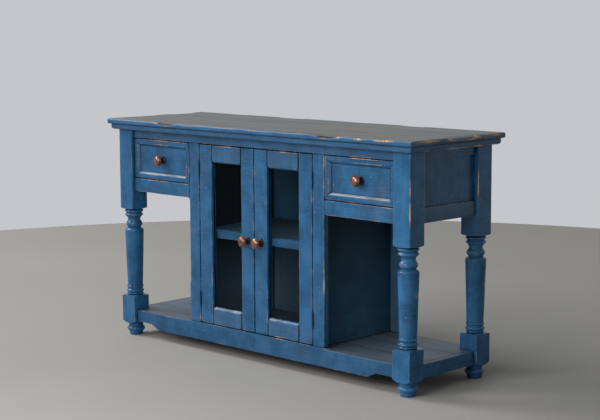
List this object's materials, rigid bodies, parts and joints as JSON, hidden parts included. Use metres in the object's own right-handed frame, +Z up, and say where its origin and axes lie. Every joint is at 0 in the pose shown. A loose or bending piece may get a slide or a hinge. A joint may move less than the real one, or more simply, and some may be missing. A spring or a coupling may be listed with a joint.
{
  "type": "kitchen island console",
  "caption": "Free-standing painted console island: plank top, turned legs, drawers over open bays, a glazed double-door cupboard and a low plank shelf.",
  "frame": {"origin": "on the floor under the middle of the top", "axes": "+X along the length to the viewer's right, +Y from the front to the back, +Z up"},
  "size_m": [1.456, 0.465, 0.8],
  "materials": {
    "painted_pine": "brushed blue paint over pine, rubbed through along the edges",
    "top_pine": "weathered grey stain, worn",
    "shelf_pine": "weathered grey-blue stain",
    "bare_pine": "planed and bare",
    "door_glass": "clear sheet",
    "copper_knob": "antique copper, darkened",
    "hinge_iron": "blackened"
  },
  "bodies": {
    "carcass": {"back_apron_left": "painted_pine", "back_apron_right": "painted_pine", "back_bottom_rail": "painted_pine", "cornice_back": "painted_pine", "cornice_front": "painted_pine", "cornice_left": "painted_pine", "cornice_right": "painted_pine", "cupboard_back": "painted_pine", "cupboard_side_left": "painted_pine", "cupboard_side_right": "painted_pine", "door_stop": "painted_pine", "drawer_rail_left": "painted_pine", "drawer_rail_right": "painted_pine", "drawer_runners": "bare_pine", "end_low_rails": "painted_pine", "end_middle_rails": "painted_pine", "end_panel_left": "painted_pine", "end_panel_right": "painted_pine", "end_top_rails": "painted_pine", "frame_hinge_leaves": "hinge_iron", "front_bottom_rail": "painted_pine", "front_stile_left": "painted_pine", "front_stile_right": "painted_pine", "front_top_rail": "painted_pine", "hinge_pins": "hinge_iron", "inner_shelf": "painted_pine", "inner_shelf_cleats": "painted_pine", "inner_shelf_lip": "painted_pine", "leg_back_left": "painted_pine", "leg_back_right": "painted_pine", "leg_front_left": "painted_pine", "leg_front_right": "painted_pine", "shelf_bearers": "bare_pine", "shelf_planks": "shelf_pine", "top_planks": "top_pine"},
    "drawer_left": {"drawer_left_back": "bare_pine", "drawer_left_bottom": "bare_pine", "drawer_left_front": "painted_pine", "drawer_left_knob": "copper_knob", "drawer_left_moulding": "painted_pine", "drawer_left_sides": "bare_pine"},
    "drawer_right": {"drawer_right_back": "bare_pine", "drawer_right_bottom": "bare_pine", "drawer_right_front": "painted_pine", "drawer_right_knob": "copper_knob", "drawer_right_moulding": "painted_pine", "drawer_right_sides": "bare_pine"},
    "door_left": {"door_left_glass": "door_glass", "door_left_glass_stops": "painted_pine", "door_left_hinge_leaves": "hinge_iron", "door_left_knob": "copper_knob", "door_left_rails": "painted_pine", "door_left_stiles": "painted_pine"},
    "door_right": {"door_right_glass": "door_glass", "door_right_glass_stops": "painted_pine", "door_right_hinge_leaves": "hinge_iron", "door_right_knob": "copper_knob", "door_right_rails": "painted_pine", "door_right_stiles": "painted_pine"}
  },
  "joints": [
    {"name": "drawer_left_slide", "type": "slide", "parent": "carcass", "child": "drawer_left", "axis": [0, -1, 0], "range_m": [0, 0.24]},
    {"name": "drawer_right_slide", "type": "slide", "parent": "carcass", "child": "drawer_right", "axis": [0, -1, 0], "range_m": [0, 0.24]},
    {"name": "door_left_hinge", "type": "hinge", "parent": "carcass", "child": "door_left", "pos_m": [-0.27375, -0.19275, 0.41725], "axis": [0, 0, -1], "range_deg": [0, 100]},
    {"name": "door_right_hinge", "type": "hinge", "parent": "carcass", "child": "door_right", "pos_m": [0.27375, -0.19275, 0.41725], "axis": [0, 0, 1], "range_deg": [0, 100]}
  ]
}
